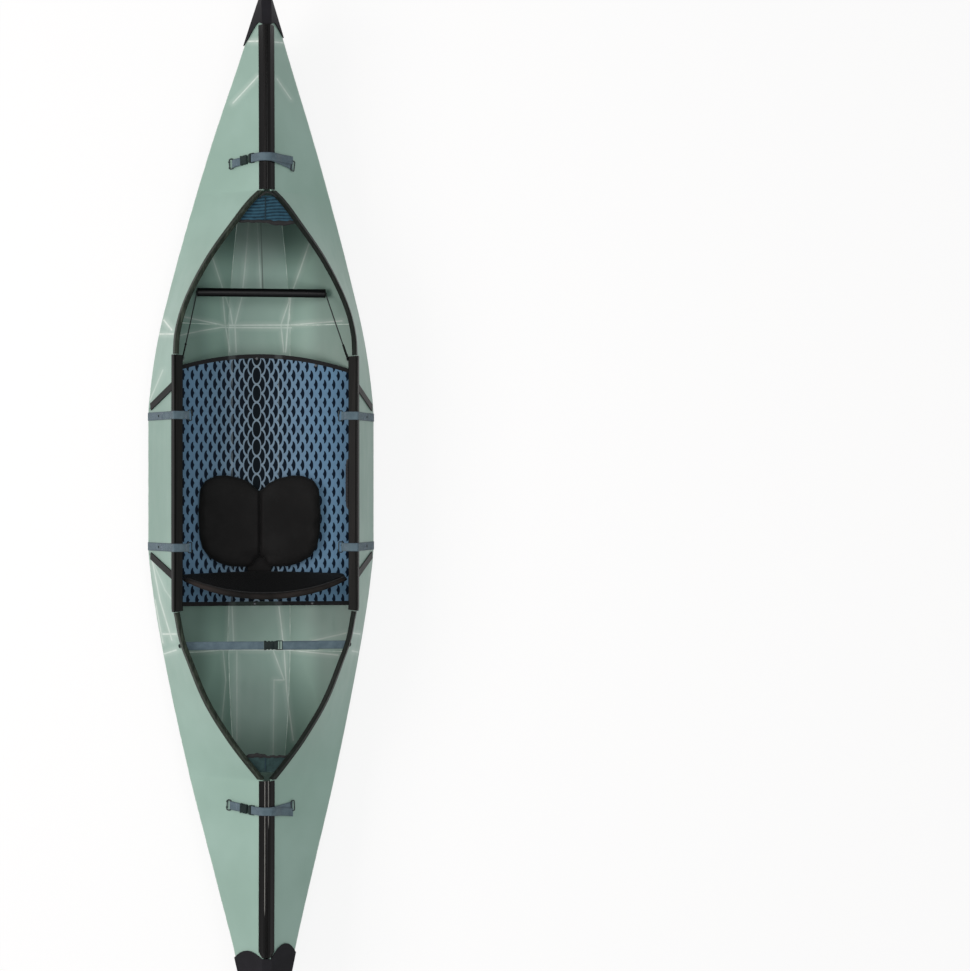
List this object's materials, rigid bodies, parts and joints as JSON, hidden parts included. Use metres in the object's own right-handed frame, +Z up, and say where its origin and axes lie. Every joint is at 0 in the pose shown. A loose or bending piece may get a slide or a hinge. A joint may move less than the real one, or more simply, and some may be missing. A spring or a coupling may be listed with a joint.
{
  "type": "folding kayak",
  "caption": "Open folding kayak set up for use: creased sheet hull, end caps, side rails, coaming, floorboard, seat pad, tilting backrest, footrest and straps.",
  "frame": {"origin": "middle of the box that holds the kayak, on the ground under the keel", "axes": "+X towards the bow, +Y to port, +Z up"},
  "size_m": [3.2, 0.7076, 0.3772],
  "materials": {
    "hull_sheet": "satin corrugated plastic sheet, sage green",
    "cap_plastic": "matt moulded plastic",
    "trim_plastic": "satin extruded plastic",
    "channel_plastic": "glossy extruded plastic",
    "board_sheet": "printed plastic sheet",
    "binding": "satin edge binding",
    "pad_fabric": "black padded fabric",
    "webbing": "slate webbing",
    "buckle_plastic": "moulded plastic",
    "ring_metal": "dark coated wire",
    "net_fabric": "teal netting",
    "cord_fabric": "black braided cord",
    "bar_tube": "black foam-covered tube",
    "grip_fabric": "black braided grip"
  },
  "bodies": {
    "hull": {"keel_strip": "hull_sheet", "bow_bilge_port": "hull_sheet", "bow_bilge_starboard": "hull_sheet", "middle_bilge_port": "hull_sheet", "middle_bilge_starboard": "hull_sheet", "stern_bilge_port": "hull_sheet", "stern_bilge_starboard": "hull_sheet", "bow_deck_port": "hull_sheet", "bow_deck_starboard": "hull_sheet", "stern_deck_port": "hull_sheet", "stern_deck_starboard": "hull_sheet", "side_flap_port": "hull_sheet", "side_flap_starboard": "hull_sheet", "bow_end_cap": "cap_plastic", "stern_end_cap": "cap_plastic", "bow_deck_channel": "channel_plastic", "stern_deck_channel": "channel_plastic", "side_rail_port": "trim_plastic", "side_rail_starboard": "trim_plastic", "front_coaming_port": "trim_plastic", "front_coaming_starboard": "trim_plastic", "rear_coaming_port": "trim_plastic", "rear_coaming_starboard": "trim_plastic", "front_slit_trim_port": "trim_plastic", "front_slit_trim_starboard": "trim_plastic", "rear_slit_trim_port": "trim_plastic", "rear_slit_trim_starboard": "trim_plastic", "backrest_bracket": "trim_plastic", "floorboard": "board_sheet", "floorboard_front_binding": "binding", "floorboard_rear_binding": "binding", "seat_pad": "pad_fabric", "front_side_strap_port": "webbing", "front_side_strap_starboard": "webbing", "rear_side_strap_port": "webbing", "rear_side_strap_starboard": "webbing", "cockpit_strap_port": "webbing", "bow_strap_socket": "buckle_plastic", "stern_strap_socket": "buckle_plastic", "cockpit_strap_socket": "buckle_plastic", "front_net": "net_fabric", "rear_net": "net_fabric"},
    "backrest": {"backrest": "pad_fabric"},
    "footrest": {"footrest_bar": "bar_tube", "footrest_cord_port": "cord_fabric", "footrest_cord_starboard": "cord_fabric", "footrest_adjuster_port": "trim_plastic", "footrest_adjuster_starboard": "trim_plastic"},
    "front_port_ring": {"front_strap_ring_port": "ring_metal"},
    "front_starboard_ring": {"front_strap_ring_starboard": "ring_metal"},
    "rear_port_ring": {"rear_strap_ring_port": "ring_metal"},
    "rear_starboard_ring": {"rear_strap_ring_starboard": "ring_metal"},
    "bow_strap": {"bow_strap_webbing": "webbing", "bow_strap_plug": "buckle_plastic"},
    "stern_strap": {"stern_strap_webbing": "webbing", "stern_strap_plug": "buckle_plastic"},
    "cockpit_strap": {"cockpit_strap_starboard": "webbing", "cockpit_strap_plug": "buckle_plastic"},
    "carry_handle": {"carry_handle": "grip_fabric"}
  },
  "joints": [
    {"name": "backrest_tilt", "type": "hinge", "parent": "hull", "child": "backrest", "pos_m": [-0.206, 0, 0.1176], "axis": [0, 1, 0], "range_deg": [0, 50]},
    {"name": "footrest_swing", "type": "hinge", "parent": "hull", "child": "footrest", "pos_m": [0.462, 0, 0.304], "axis": [0, -1, 0], "range_deg": [0, 24]},
    {"name": "bow_strap_release", "type": "slide", "parent": "hull", "child": "bow_strap", "axis": [0, -0.6909, 0.7229], "range_m": [0, 0.012]},
    {"name": "stern_strap_release", "type": "slide", "parent": "hull", "child": "stern_strap", "axis": [0, -0.7283, 0.6853], "range_m": [0, 0.012]},
    {"name": "cockpit_strap_drop", "type": "hinge", "parent": "hull", "child": "cockpit_strap", "pos_m": [-0.4112, -0.24916, 0.28597], "axis": [-1, 0, 0], "range_deg": [0, 65]},
    {"name": "carry_handle_swing", "type": "hinge", "parent": "hull", "child": "carry_handle", "pos_m": [0.081, -0.256, 0.3055], "axis": [1, 0, 0], "range_deg": [-15, 80]},
    {"name": "front_port_ring_swing", "type": "hinge", "parent": "hull", "child": "front_port_ring", "pos_m": [0.2888, 0.2344, 0.3076], "axis": [1, 0, 0], "range_deg": [-30, 30]},
    {"name": "front_starboard_ring_swing", "type": "hinge", "parent": "hull", "child": "front_starboard_ring", "pos_m": [0.2888, -0.2344, 0.3076], "axis": [-1, 0, 0], "range_deg": [-30, 30]},
    {"name": "rear_port_ring_swing", "type": "hinge", "parent": "hull", "child": "rear_port_ring", "pos_m": [-0.112, 0.2344, 0.3076], "axis": [1, 0, 0], "range_deg": [-30, 30]},
    {"name": "rear_starboard_ring_swing", "type": "hinge", "parent": "hull", "child": "rear_starboard_ring", "pos_m": [-0.112, -0.2344, 0.3076], "axis": [-1, 0, 0], "range_deg": [-30, 30]}
  ]
}
